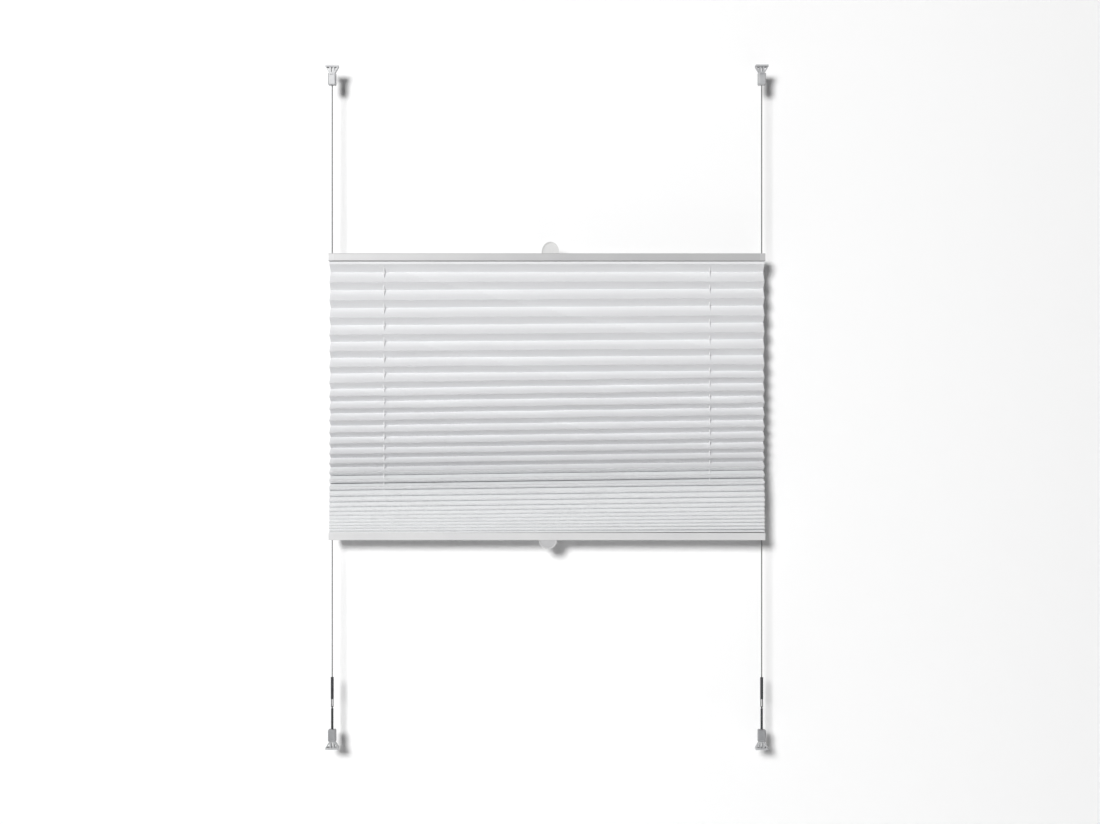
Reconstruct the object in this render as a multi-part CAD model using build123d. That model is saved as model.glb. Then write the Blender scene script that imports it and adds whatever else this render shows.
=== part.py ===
from build123d import *
import math
import os

# A pleated blind whose two rails both slide on a pair of tensioned cords. The cords
# run between four shoes that are screwed to the top and bottom of a window rebate.
# Millimetres. +X is to the right, the front faces -Y and +Z is up. The origin lies
# midway between the two lower shoes, on the plane that they are screwed to.

# Whole blind
REBATE_HEIGHT = 1100.0  # from the lower mounting plane to the upper one
RAIL_LENGTH = 700.0  # over the end caps
CORD_INSET = 4.5  # from each end of the rails to the outer cord

# Where the rails stand, measured on the faces that carry the fabric
TOP_RAIL_Z = 784.8
BOTTOM_RAIL_Z = 349.0

# Rail extrusion
RAIL_DEPTH = 22.0
RAIL_HEIGHT = 12.0
RAIL_WALL = 1.2
LIP_REACH = 1.5
RAIL_EDGE_RADIUS = 1.0
CAP_LENGTH = 8.5
CAP_PLUG_LENGTH = 13.0

# Fabric carrier strip, held behind the lips of the rail
STRIP_THICKNESS = 1.5
FIT_GAP = 0.15

# Cord and the way it takes through a rail
CORD_DIAMETER = 1.6
CORD_OFFSET = 0.9  # the two cords pass each other this far behind and before mid-depth
CORD_BEND_RADIUS = 3.0
CORD_CHANNEL = 3.0
HOLE_INSET = 88.0  # from each end of the rails to a row of punched holes
GUIDE_LENGTH = 12.0
EYELET_BORE = 4.4
EYELET_WALL = 0.8

# Pleated fabric
PLEATS = 28
PANEL = 20.0  # from fold to fold, along the cloth
CLOTH = 0.3
CLOTH_INSET = 1.0  # from each end of the rails to the edge of the cloth
PUNCHED_HOLE = 5.0
TAB_REACH = 8.0  # how far the glued end panels reach behind mid-depth
TIGHTEST_SHARE = 0.16  # pitch of the lowest pleat over that of the highest one
CROWDING = 0.85  # below 1, the pleats crowd together sooner on the way down

# Handles, clipped to the outer face of each rail
HANDLE_WIDTH = 28.0
TOP_HANDLE_HEIGHT = 18.5
BOTTOM_HANDLE_HEIGHT = 14.0
HANDLE_THICKNESS = 2.4
HANDLE_FOOT = 1.6
HANDLE_FOOT_DEPTH = 13.0
HANDLE_RIM = 1.6
TOP_HANDLE_X = 5.6
BOTTOM_HANDLE_X = 1.6

# Tension shoe: a screwed foot and the barrel that snaps over its neck
SHOE_HEIGHT = 32.0
FOOT_WIDTH = 20.5
FOOT_DEPTH = 13.0
FOOT_PLATE = 3.0
FLARE_HEIGHT = 14.0
FLARE_DEPTH = 9.0
LEG_THICKNESS = 2.0
SCREW_HOLE_RADIUS = 1.75
SCREW_ACCESS_RADIUS = 3.1
NECK_SIZE = 8.6
NECK_HEIGHT = 4.0
BARREL_WIDTH = 12.5
BARREL_DEPTH = 12.0
BARREL_EDGE_RADIUS = 2.0
BARREL_SLOT = 1.4
CORD_HOLE_RADIUS = 1.1
KNOT_RADIUS = 1.9
KNOT_POCKET_DEPTH = 5.5

# Tension spring, cord sleeve and the loop between them, above each lower shoe
SPRING_LENGTH = 34.0
SPRING_DIAMETER = 4.0
SPRING_WIRE = 0.7
EYE_LIFT = 0.6  # height of the eye's middle over the last turn, as a share of its radius
SLEEVE_LENGTH = 35.0
SLEEVE_WALL = 0.3
SLEEVE_PLAY = 0.05  # round the doubled cord
SLEEVE_NECK = 4.0
LOOP_SHOWN = 12.0  # from the eye to the sleeve
LOOP_IN_SLEEVE = 8.0
TOUCH_GAP = 0.1

# What follows from them
cord_r = CORD_DIAMETER / 2
shoe_x = RAIL_LENGTH / 2 - CORD_INSET
hole_x = RAIL_LENGTH / 2 - HOLE_INSET
cloth_half = RAIL_LENGTH / 2 - CLOTH_INSET
lip_gap = RAIL_DEPTH - 2 * (RAIL_WALL + LIP_REACH)
cavity_depth = RAIL_DEPTH - 2 * RAIL_WALL
strip_top = RAIL_WALL + STRIP_THICKNESS
cavity_top = RAIL_HEIGHT - RAIL_WALL
run_z = (strip_top + cavity_top) / 2
flare_top = FOOT_PLATE + FLARE_HEIGHT - NECK_HEIGHT
barrel_start = flare_top + FIT_GAP
neck_top = flare_top + NECK_HEIGHT
pocket_floor = neck_top + FIT_GAP + KNOT_POCKET_DEPTH
SIDES = {"left": -1, "right": 1}


def cord_y(side):
    """Depth of the cord that hangs from the shoe on this side."""
    return -side * CORD_OFFSET


def block(x0, x1, y0, y1, z0, z1):
    """Box between two corners."""
    middle = ((x0 + x1) / 2, (y0 + y1) / 2, (z0 + z1) / 2)
    return Pos(*middle) * Box(x1 - x0, y1 - y0, z1 - z0)


def upright(radius, z0, z1, x=0.0, y=0.0):
    """Cylinder along Z."""
    return Pos(x, y, (z0 + z1) / 2) * Cylinder(radius, z1 - z0)


def along_x(face, x0, x1):
    """Extrude a section drawn as (y, z) from x0 to x1."""
    return Pos(x0, 0, 0) * extrude(Plane.YZ * face, x1 - x0)


# --- Rails. Their own frame has z = 0 on the face that carries the fabric. ---


def rail_extrusion():
    """C-section with its slot towards the fabric."""
    outline = Pos(0, RAIL_HEIGHT / 2) * RectangleRounded(RAIL_DEPTH, RAIL_HEIGHT, RAIL_EDGE_RADIUS)
    cavity = Pos(0, RAIL_HEIGHT / 2) * Rectangle(cavity_depth, cavity_top - RAIL_WALL)
    slot = Pos(0, RAIL_WALL / 2) * Rectangle(lip_gap, RAIL_WALL * 1.5)
    half = RAIL_LENGTH / 2 - CAP_LENGTH
    return along_x(outline - cavity - slot, -half, half)


def rail_cap(side):
    """End cap: a block that continues the rail, and a plug inside it."""
    outline = Pos(0, RAIL_HEIGHT / 2) * RectangleRounded(RAIL_DEPTH, RAIL_HEIGHT, RAIL_EDGE_RADIUS)
    inner_end = RAIL_LENGTH / 2 - CAP_LENGTH
    head = along_x(outline, inner_end, RAIL_LENGTH / 2)
    plug_half = cavity_depth / 2 - FIT_GAP
    plug = block(
        inner_end - CAP_PLUG_LENGTH,
        inner_end,
        -plug_half,
        plug_half,
        strip_top + FIT_GAP,
        cavity_top - FIT_GAP,
    )
    channel_half = CORD_OFFSET + CORD_CHANNEL / 2
    channel = block(
        inner_end - CAP_PLUG_LENGTH - 1,
        shoe_x + CORD_CHANNEL / 2,
        -channel_half,
        channel_half,
        run_z - CORD_CHANNEL / 2,
        run_z + CORD_CHANNEL / 2,
    )
    entry = upright(CORD_CHANNEL / 2, run_z, RAIL_HEIGHT + 1, shoe_x, side * cord_y(side))
    cap = head + plug - channel - entry
    return cap if side > 0 else Rot(0, 0, 180) * cap


def fabric_strip():
    """T-section strip behind the lips, flush with the rail's face."""
    tongue = lip_gap - 2 * FIT_GAP
    flange = cavity_depth - 2 * FIT_GAP
    section = Pos(0, RAIL_WALL / 2) * Rectangle(tongue, RAIL_WALL)
    section += Pos(0, RAIL_WALL + STRIP_THICKNESS / 2) * Rectangle(flange, STRIP_THICKNESS)
    half = RAIL_LENGTH / 2 - CAP_LENGTH
    strip = along_x(section, -half, half)
    for side in SIDES.values():
        strip -= upright(EYELET_BORE / 2 + EYELET_WALL + FIT_GAP, -1, strip_top + 1, side * hole_x)
    return strip


def cord_guide(side):
    """Block that turns one cord into the fabric and lets the other one pass."""
    half_depth = cavity_depth / 2 - FIT_GAP
    x = side * hole_x
    body = block(
        x - GUIDE_LENGTH / 2,
        x + GUIDE_LENGTH / 2,
        -half_depth,
        half_depth,
        strip_top,
        cavity_top - FIT_GAP,
    )
    body += upright(EYELET_BORE / 2 + EYELET_WALL, 0, strip_top, x)
    channel_half = CORD_OFFSET + CORD_CHANNEL / 2
    body -= block(
        x - GUIDE_LENGTH,
        x + GUIDE_LENGTH,
        -channel_half,
        channel_half,
        run_z - CORD_CHANNEL / 2,
        run_z + CORD_CHANNEL / 2,
    )
    return body - upright(EYELET_BORE / 2, -1, run_z, x)


def rail_cord(side):
    """Cord from the end cap on this side to the hole on the other side."""
    y = cord_y(side)
    points = [
        (side * shoe_x, y, RAIL_HEIGHT),
        (side * shoe_x, y, run_z),
        (-side * hole_x, y, run_z),
        (-side * hole_x, y, 0),
    ]
    path = FilletPolyline(*points, radius=CORD_BEND_RADIUS)
    return sweep(Plane(path @ 0, z_dir=path % 0) * Circle(cord_r), path=path)


def half_oval(half_width, height):
    """Short upright sides under half an ellipse."""
    shoulder = HANDLE_FOOT
    curve = EllipticalCenterArc((0, shoulder), half_width, height - shoulder, 0, arc_size=180)
    corners = [(-half_width, shoulder), (-half_width, 0), (half_width, 0), (half_width, shoulder)]
    return make_face(curve + Polyline(*corners))


def rail_handle(height, x):
    """Finger tab with an oval tip and a raised rim, on a flat foot."""
    half = HANDLE_WIDTH / 2
    front = -RAIL_DEPTH / 2 + RAIL_EDGE_RADIUS
    tab_face = half_oval(half, height)
    rim_face = tab_face - half_oval(half - HANDLE_RIM, height - HANDLE_RIM)
    back = front + HANDLE_THICKNESS
    tab = Pos(x, back, RAIL_HEIGHT) * extrude(Plane.XZ * tab_face, HANDLE_THICKNESS)
    rim = Pos(x, front, RAIL_HEIGHT) * extrude(Plane.XZ * rim_face, HANDLE_RIM)
    foot = block(
        x - half,
        x + half,
        front,
        front + HANDLE_FOOT_DEPTH,
        RAIL_HEIGHT,
        RAIL_HEIGHT + HANDLE_FOOT,
    )
    return tab + rim + foot


# --- Fabric ---


def pleat_pitches(height):
    """Pitch of each pleat from the top, wide where it hangs and tight where it rests."""
    shares = []
    for k in range(PLEATS):
        u = ((k + 0.5) / PLEATS) ** CROWDING
        shares.append(TIGHTEST_SHARE + (1 - TIGHTEST_SHARE) * (1 + math.cos(math.pi * u)) / 2)
    return [share * height / sum(shares) for share in shares]


def fold_line():
    """Folds of the cloth's middle surface as (y, z), with the two glued end panels."""
    top = TOP_RAIL_Z - CLOTH / 2
    rises = [p / 2 for p in pleat_pitches(TOP_RAIL_Z - BOTTOM_RAIL_Z - CLOTH) for _ in range(2)]
    depths = [math.sqrt(PANEL**2 - rise**2) for rise in rises]
    folds = [(TAB_REACH, top)]
    z = top
    for k in range(len(rises) + 1):
        beside = depths[max(k - 1, 0) : k + 1]
        reach = sum(beside) / len(beside) / 2
        folds.append((-reach if k % 2 == 0 else reach, z))
        if k < len(rises):
            z -= rises[k]
    folds.append((TAB_REACH, z))
    return folds


def cloth_section():
    """Closed outline of the folded cloth: blunt outside each fold, mitred inside it."""
    folds = fold_line()
    half = CLOTH / 2
    left, right = [], []
    for k, (y, z) in enumerate(folds):
        before = normal(folds[k - 1], folds[k]) if k else None
        after = normal(folds[k], folds[k + 1]) if k + 1 < len(folds) else None
        if before is None or after is None:
            n = after or before
            left.append((y + half * n[0], z + half * n[1]))
            right.append((y - half * n[0], z - half * n[1]))
            continue
        across = before[0] * after[0] + before[1] * after[1]
        mitre = [half * (before[i] + after[i]) / (1 + across) for i in range(2)]
        blunt = [(half * n[0], half * n[1]) for n in (before, after)]
        turns_left = before[0] * after[1] - before[1] * after[0] > 0
        inner, outer, sign = (left, right, -1) if turns_left else (right, left, 1)
        inner.append((y - sign * mitre[0], z - sign * mitre[1]))
        outer.extend((y + sign * b[0], z + sign * b[1]) for b in blunt)
    return left + right[::-1]


def normal(a, b):
    """Unit normal to the left of the way from a to b."""
    length = math.dist(a, b)
    return (a[1] - b[1]) / length, (b[0] - a[0]) / length


def pleated_fabric():
    """The whole cloth in one piece, with its two rows of punched holes."""
    section = make_face(Polyline(*cloth_section(), close=True))
    cloth = along_x(section, -cloth_half, cloth_half)
    punches = [
        upright(PUNCHED_HOLE / 2, BOTTOM_RAIL_Z - 1, TOP_RAIL_Z + 1, side * hole_x)
        for side in SIDES.values()
    ]
    return cloth - punches


# --- Shoes. Their own frame has z = 0 on the mounting plane, with z towards the blind. ---


def shoe_foot():
    """Screwed foot: plate, slanting legs round a screw well, and the neck."""
    half_foot = FOOT_WIDTH / 2
    half_neck = NECK_SIZE / 2
    outline = Polyline(
        (-half_foot, 0),
        (half_foot, 0),
        (half_foot, FOOT_PLATE),
        (half_neck, flare_top),
        (-half_neck, flare_top),
        (-half_foot, FOOT_PLATE),
        close=True,
    )
    flare = Pos(0, FLARE_DEPTH / 2, 0) * extrude(Plane.XZ * make_face(outline), FLARE_DEPTH)
    foot = flare + block(-half_foot, half_foot, -FOOT_DEPTH / 2, FOOT_DEPTH / 2, 0, FOOT_PLATE)
    foot += block(-half_neck, half_neck, -half_neck, half_neck, flare_top, neck_top)
    well_wall = SCREW_ACCESS_RADIUS + LEG_THICKNESS / 2
    slope = (half_foot - half_neck) / (flare_top - FOOT_PLATE)
    for side in SIDES.values():
        low = half_foot - LEG_THICKNESS * math.hypot(1, slope)
        top_z = FOOT_PLATE + (low - well_wall) / slope
        window = Polyline(
            (side * well_wall, FOOT_PLATE),
            (side * low, FOOT_PLATE),
            (side * well_wall, top_z),
            close=True,
        )
        foot -= Pos(0, FOOT_DEPTH / 2, 0) * extrude(Plane.XZ * make_face(window), FOOT_DEPTH)
    foot -= upright(SCREW_HOLE_RADIUS, -1, FOOT_PLATE + 1)
    foot -= upright(SCREW_ACCESS_RADIUS, FOOT_PLATE, neck_top + 1)
    slit_half = LEG_THICKNESS / 2
    slit_top = flare_top - LEG_THICKNESS
    return foot - block(-slit_half, slit_half, -FOOT_DEPTH, FOOT_DEPTH, FOOT_PLATE, slit_top)


def shoe_barrel():
    """Snap-on barrel that holds the cord's end over the screw."""
    height = SHOE_HEIGHT - barrel_start
    barrel = Pos(0, 0, barrel_start + height / 2) * Box(BARREL_WIDTH, BARREL_DEPTH, height)
    barrel = fillet(barrel.edges().filter_by(Axis.Z), BARREL_EDGE_RADIUS)
    barrel = fillet(barrel.faces().sort_by(Axis.Z)[-1].edges(), BARREL_EDGE_RADIUS)
    pocket_half = NECK_SIZE / 2 + FIT_GAP
    pocket_top = neck_top + FIT_GAP
    barrel -= block(-pocket_half, pocket_half, -pocket_half, pocket_half, barrel_start - 1, pocket_top)
    barrel -= upright(KNOT_RADIUS + FIT_GAP, pocket_top - 1, pocket_floor)
    barrel -= upright(CORD_HOLE_RADIUS, pocket_floor - 1, SHOE_HEIGHT + 1)
    slot_half = SCREW_ACCESS_RADIUS
    slot_z = barrel_start + BARREL_SLOT
    return barrel - block(-slot_half, slot_half, -BARREL_DEPTH, 0, slot_z, slot_z + BARREL_SLOT)


def place_shoe(piece, end, side):
    """Stand a shoe piece on the lower plane, or hang it from the upper one."""
    if end == "top":
        piece = Pos(0, 0, REBATE_HEIGHT) * mirror(piece, about=Plane.XY)
    return Pos(side * shoe_x, cord_y(side), 0) * piece


# Heights above the lower plane along each lower cord end
spring_start = SHOE_HEIGHT + TOUCH_GAP
spring_end = spring_start + SPRING_LENGTH
eye_r = SPRING_DIAMETER / 2 - SPRING_WIRE / 2
eye_z = spring_end + EYE_LIFT * eye_r
loop_r = SPRING_WIRE / 2 + cord_r + TOUCH_GAP
loop_low = eye_z + eye_r
sleeve_bore_r = loop_r + cord_r + SLEEVE_PLAY
sleeve_start = loop_low + LOOP_SHOWN
sleeve_end = sleeve_start + SLEEVE_LENGTH
knot_z = pocket_floor - math.sqrt(KNOT_RADIUS**2 - CORD_HOLE_RADIUS**2) - TOUCH_GAP / 2
cord_start = knot_z + KNOT_RADIUS + TOUCH_GAP / 5


def tension_spring(side):
    """Close-wound body as a plain tube, with the eye at its upper end."""
    x, y = side * shoe_x, cord_y(side)
    body = upright(SPRING_DIAMETER / 2, spring_start, spring_end, x, y)
    body -= upright(SPRING_DIAMETER / 2 - SPRING_WIRE, spring_start - 1, spring_end + 1, x, y)
    eye = Pos(x, y, eye_z) * Rot(0, 90, 0) * Torus(eye_r, SPRING_WIRE / 2)
    return body + eye


def spring_anchor(side):
    """Stud through the barrel's mouth, gripped inside the lower turns of the spring."""
    x, y = side * shoe_x, cord_y(side)
    head_top = pocket_floor - TOUCH_GAP / 5
    shank_r = CORD_HOLE_RADIUS - FIT_GAP
    plug_r = SPRING_DIAMETER / 2 - SPRING_WIRE - TOUCH_GAP / 2
    plug_low = spring_start + TOUCH_GAP / 5
    anchor = upright(KNOT_RADIUS, head_top - SPRING_WIRE * 2, head_top, x, y)
    anchor += upright(shank_r, head_top, plug_low, x, y)
    return anchor + upright(plug_r, plug_low, plug_low + SPRING_DIAMETER, x, y)


def cord_loop(side):
    """The cord's doubled end, through the eye of the spring."""
    x, y = side * shoe_x, cord_y(side)
    high = sleeve_start + LOOP_IN_SLEEVE
    points = [
        (x - loop_r, y, high),
        (x - loop_r, y, loop_low),
        (x, y, loop_low - loop_r),
        (x + loop_r, y, loop_low),
        (x + loop_r, y, high),
    ]
    path = Line(points[0], points[1]) + ThreePointArc(*points[1:4]) + Line(*points[3:])
    start = Plane(origin=points[0], z_dir=(0, 0, -1))
    return sweep(start * Circle(cord_r), path=path)


def cord_sleeve(side):
    """Sleeve over the doubled cord, closed round the single cord at its top."""
    x, y = side * shoe_x, cord_y(side)
    sleeve = upright(sleeve_bore_r + SLEEVE_WALL, sleeve_start, sleeve_end, x, y)
    sleeve -= upright(sleeve_bore_r, sleeve_start - 1, sleeve_end - SLEEVE_NECK, x, y)
    return sleeve - upright(cord_r + TOUCH_GAP, sleeve_start, sleeve_end + 1, x, y)


# --- The blind, node by node ---


def frame_nodes():
    """What stays still: shoes, cord ends, springs and the stretches of cord."""
    nodes = {}
    for name, side in SIDES.items():
        x, y = side * shoe_x, cord_y(side)
        for end in ("top", "bottom"):
            nodes[f"{end}_{name}_shoe_foot"] = place_shoe(shoe_foot(), end, side)
            nodes[f"{end}_{name}_shoe_barrel"] = place_shoe(shoe_barrel(), end, side)
        nodes[f"{name}_cord_knot"] = Pos(x, y, REBATE_HEIGHT - knot_z) * Sphere(KNOT_RADIUS)
        nodes[f"{name}_spring_anchor"] = spring_anchor(side)
        nodes[f"{name}_tension_spring"] = tension_spring(side)
        nodes[f"{name}_cord_loop"] = cord_loop(side)
        nodes[f"{name}_cord_sleeve"] = cord_sleeve(side)
        rail_top = TOP_RAIL_Z + RAIL_HEIGHT
        nodes[f"{name}_upper_cord"] = upright(cord_r, rail_top, REBATE_HEIGHT - cord_start, x, y)
        rail_low = BOTTOM_RAIL_Z - RAIL_HEIGHT
        nodes[f"{name}_lower_cord"] = upright(cord_r, sleeve_end - SLEEVE_NECK, rail_low, x, y)
        # the cord from the other side's shoe comes down through this side's holes
        nodes[f"{name}_fabric_cord"] = upright(
            cord_r, BOTTOM_RAIL_Z, TOP_RAIL_Z, side * hole_x, cord_y(-side)
        )
    nodes["pleated_fabric"] = pleated_fabric()
    return nodes


def rail_nodes(end, handle_height, handle_x):
    """One rail with everything that moves with it, in the rail's own frame."""
    nodes = {
        f"{end}_rail": rail_extrusion(),
        f"{end}_rail_fabric_strip": fabric_strip(),
        f"{end}_rail_handle": rail_handle(handle_height, handle_x),
    }
    for name, side in SIDES.items():
        nodes[f"{end}_rail_{name}_cap"] = rail_cap(side)
        nodes[f"{end}_rail_{name}_guide"] = cord_guide(side)
        nodes[f"{end}_rail_{name}_cord"] = rail_cord(side)
    return nodes


def all_nodes():
    """Every node of the blind, where it stands at rest."""
    nodes = frame_nodes()
    for name, piece in rail_nodes("top", TOP_HANDLE_HEIGHT, TOP_HANDLE_X).items():
        nodes[name] = Pos(0, 0, TOP_RAIL_Z) * piece
    for name, piece in rail_nodes("bottom", BOTTOM_HANDLE_HEIGHT, BOTTOM_HANDLE_X).items():
        nodes[name] = Pos(0, 0, BOTTOM_RAIL_Z) * mirror(piece, about=Plane.XY)
    return nodes


def main():
    os.makedirs("parts", exist_ok=True)
    for name, piece in all_nodes().items():
        export_step(piece, f"parts/{name}.step")
    rise = REBATE_HEIGHT - SHOE_HEIGHT - TOP_RAIL_Z - RAIL_HEIGHT
    sink = BOTTOM_RAIL_Z - RAIL_HEIGHT - sleeve_end
    print(f"room for the top rail to rise {rise:.1f} mm and the bottom rail to sink {sink:.1f} mm")
    cloth = 2 * PLEATS * PANEL + 2 * (TAB_REACH + PANEL / 2)
    print(f"cloth {2 * cloth_half:.0f} x {cloth:.0f} mm laid flat")


main()
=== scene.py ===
import math

import bmesh
import bpy
from mathutils import Matrix, Vector


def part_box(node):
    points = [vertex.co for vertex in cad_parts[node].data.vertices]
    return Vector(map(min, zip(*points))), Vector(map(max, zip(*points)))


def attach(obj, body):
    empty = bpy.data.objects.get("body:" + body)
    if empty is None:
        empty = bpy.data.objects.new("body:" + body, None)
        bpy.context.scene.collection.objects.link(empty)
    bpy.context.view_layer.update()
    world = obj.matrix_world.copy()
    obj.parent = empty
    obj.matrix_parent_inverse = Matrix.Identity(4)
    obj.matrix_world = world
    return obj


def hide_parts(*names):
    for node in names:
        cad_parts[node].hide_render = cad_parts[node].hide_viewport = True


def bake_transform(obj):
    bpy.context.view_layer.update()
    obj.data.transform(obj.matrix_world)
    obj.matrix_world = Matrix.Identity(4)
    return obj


# A pleated blind between two rails that both slide on tensioned cords. Metres, +Z up,
# the front faces -Y, and the origin is on the lower mounting plane.

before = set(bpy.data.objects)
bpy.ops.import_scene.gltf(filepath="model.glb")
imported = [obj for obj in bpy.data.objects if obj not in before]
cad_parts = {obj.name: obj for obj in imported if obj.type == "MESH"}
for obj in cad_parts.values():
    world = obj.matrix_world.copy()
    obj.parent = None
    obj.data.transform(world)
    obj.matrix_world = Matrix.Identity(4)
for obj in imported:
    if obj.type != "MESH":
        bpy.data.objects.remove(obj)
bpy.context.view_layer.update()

MM = 0.001
LEFT_AND_RIGHT = {"left": -1, "right": 1}

# Sizes of the cloth, the cords and the springs
PLEATS = 28
PANEL = 20.0 * MM
CLOTH = 0.3 * MM
TAB_REACH = 8.0 * MM
TIGHTEST_SHARE = 0.16
CROWDING = 0.85
PUNCHED_HOLE = 1.9 * MM
FREE_SPLIT = 15  # pleats in the upper piece of cloth, and the rest are in the lower one
CORD = 1.6 * MM
CORD_OFFSET = 0.9 * MM  # each cord stands this far to its own side of the middle
RAIL_RUN = 6.75 * MM  # from the cloth's side of a rail to the cord that runs along it
SPRING_WIRE = 0.7 * MM


def linear(hex_colour):
    """sRGB hex to linear RGBA."""
    values = [int(hex_colour[i : i + 2], 16) / 255 for i in (1, 3, 5)]
    return [v / 12.92 if v <= 0.04045 else ((v + 0.055) / 1.055) ** 2.4 for v in values] + [1.0]


def add(tree, kind, inputs=None, **settings):
    """Add a node with its settings; an input is a value or another node's socket."""
    node = tree.nodes.new(kind)
    for key, value in settings.items():
        setattr(node, key, value)
    for key, value in (inputs or {}).items():
        if isinstance(value, bpy.types.NodeSocket):
            tree.links.new(value, node.inputs[key])
        else:
            node.inputs[key].default_value = value
    return node


# --- Where things are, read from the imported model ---

top_low, top_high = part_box("top_rail")
bottom_low, bottom_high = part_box("bottom_rail")
cloth_low, cloth_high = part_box("pleated_fabric")
TOP_RAIL_Z = top_low[2]
TOP_RAIL_ROOF = top_high[2]
BOTTOM_RAIL_Z = bottom_high[2]
BOTTOM_RAIL_FLOOR = bottom_low[2]
cord_low, cord_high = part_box("right_upper_cord")
SHOE_X = (cord_low[0] + cord_high[0]) / 2
hole_low, hole_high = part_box("right_fabric_cord")
HOLE_X = (hole_low[0] + hole_high[0]) / 2
HANDLE_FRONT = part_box("bottom_rail_handle")[0][1]
RIM_DEPTH = 1.6 * MM  # the handle's face lies this far behind its rim


def mesh_object(name, mesh):
    """A new piece at the origin that shows a mesh."""
    piece = bpy.data.objects.new(name, mesh)
    bpy.context.scene.collection.objects.link(piece)
    return piece


def baked(source, name):
    """The evaluated shape of an object as a plain mesh piece; the source goes."""
    bpy.context.view_layer.update()
    evaluated = source.evaluated_get(bpy.context.evaluated_depsgraph_get())
    mesh = bpy.data.meshes.new_from_object(evaluated)
    mesh.transform(source.matrix_world)
    bpy.data.objects.remove(source)
    mesh.name = name
    return mesh_object(name, mesh)


def face_outwards(mesh):
    """Merge the doubles of a closed mesh and turn its faces outwards."""
    shape = bmesh.new()
    shape.from_mesh(mesh)
    bmesh.ops.remove_doubles(shape, verts=shape.verts, dist=1e-7)
    bmesh.ops.recalc_face_normals(shape, faces=shape.faces)
    shape.to_mesh(mesh)
    shape.free()


def socket_id(tree, name):
    """The identifier of a tree's named input."""
    return next(
        item.identifier
        for item in tree.interface.items_tree
        if item.item_type == "SOCKET" and item.in_out == "INPUT" and item.name == name
    )


def grown(tree, name, source=None, **inputs):
    """Run a node tree on an object and keep the result as a plain mesh piece."""
    holder = source or mesh_object(name, bpy.data.meshes.new(name))
    modifier = holder.modifiers.new("nodes", "NODES")
    modifier.node_group = tree
    for key, value in inputs.items():
        modifier[socket_id(tree, key.replace("_", " "))] = value
    return baked(holder, name)


def new_tree(name, inputs):
    """A node tree with named inputs, geometry in and geometry out."""
    tree = bpy.data.node_groups.new(name, "GeometryNodeTree")
    kinds = {
        "G": "NodeSocketGeometry",
        "F": "NodeSocketFloat",
        "I": "NodeSocketInt",
        "M": "NodeSocketMaterial",
    }
    for label, kind in {"Geometry": "G", **inputs}.items():
        tree.interface.new_socket(label, in_out="INPUT", socket_type=kinds[kind])
    tree.interface.new_socket("Geometry", in_out="OUTPUT", socket_type=kinds["G"])
    return tree, add(tree, "NodeGroupInput").outputs


def close_tree(tree, geometry, material):
    """Realize, set the material and give the result out."""
    real = add(tree, "GeometryNodeRealizeInstances", {0: geometry})
    done = add(
        tree, "GeometryNodeSetMaterial", {"Geometry": real.outputs[0], "Material": material}
    )
    add(tree, "NodeGroupOutput", {0: done.outputs[0]})


# --- Camera, light and backdrop ---

CAMERA_DISTANCE = 2.5
VIEW_WIDTH = 1.770
SENSOR = 36.0
VIEW_X, VIEW_Z = 0.0050, 0.5425
WALL_GAP = 0.052

lens = bpy.data.cameras.new("camera")
lens.sensor_width = SENSOR
lens.lens = SENSOR * CAMERA_DISTANCE / VIEW_WIDTH
camera = bpy.data.objects.new("camera", lens)
camera.location = (VIEW_X, -CAMERA_DISTANCE, VIEW_Z)
camera.rotation_euler = (math.pi / 2, 0, 0)
bpy.context.scene.collection.objects.link(camera)
bpy.context.scene.camera = camera

# A frontal key from the upper left throws the shadows down and to the right, and a weak
# wide light from below softens the undersides of the pleats
LIGHT_AIM = Vector((0.36, 0.0, 0.45))
KEY_FROM = Vector((-0.355, -1.0, 0.29)).normalized()
FILL_FROM = Vector((0.15, -1.0, -0.6)).normalized()


def lamp(name, toward, distance, size, power):
    """A round soft light that faces the blind: its distance and size in metres."""
    data = bpy.data.lights.new(name, "AREA")
    data.shape = "DISK"
    data.size = size
    data.energy = power
    holder = bpy.data.objects.new(name, data)
    holder.location = LIGHT_AIM + toward * distance
    holder.rotation_euler = toward.to_track_quat("Z", "Y").to_euler()
    bpy.context.scene.collection.objects.link(holder)


lamp("key_light", KEY_FROM, distance=6.0, size=1.4, power=322.0)
lamp("low_fill", FILL_FROM, distance=4.0, size=3.0, power=15.0)

# A faint panel of light in the gap, so that the back of the cloth isn't left in the dark
GLOW_WIDTH, GLOW_HEIGHT, GLOW_POWER = 0.5, 0.32, 0.1
GLOW_OFF_WALL = 4 * MM
glow_panel = bpy.data.lights.new("back_fill", "AREA")
glow_panel.shape = "RECTANGLE"
glow_panel.size, glow_panel.size_y = GLOW_WIDTH, GLOW_HEIGHT
glow_panel.energy = GLOW_POWER
back_fill = bpy.data.objects.new("back_fill", glow_panel)
back_fill.location = (0.0, WALL_GAP - GLOW_OFF_WALL, (TOP_RAIL_Z + BOTTOM_RAIL_Z) / 2)
back_fill.rotation_euler = (-math.pi / 2, 0, 0)
back_fill.visible_camera = False
bpy.context.scene.collection.objects.link(back_fill)

# The studio's walls are pale to look at, but give the blind only a little light
STUDIO_LIGHT, STUDIO_LOOK = 0.045, 0.62
world = bpy.data.worlds.new("studio")
bpy.context.scene.world = world
world.use_nodes = True
studio = world.node_tree
studio.nodes["Background"].inputs["Color"].default_value = linear("#FDFDFF")
looked_at = add(studio, "ShaderNodeLightPath").outputs["Is Camera Ray"]
glow = add(studio, "ShaderNodeMapRange", {"Value": looked_at, 3: STUDIO_LIGHT, 4: STUDIO_LOOK})
studio.links.new(glow.outputs[0], studio.nodes["Background"].inputs["Strength"])
bpy.context.scene.view_settings.view_transform = "Standard"


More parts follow.
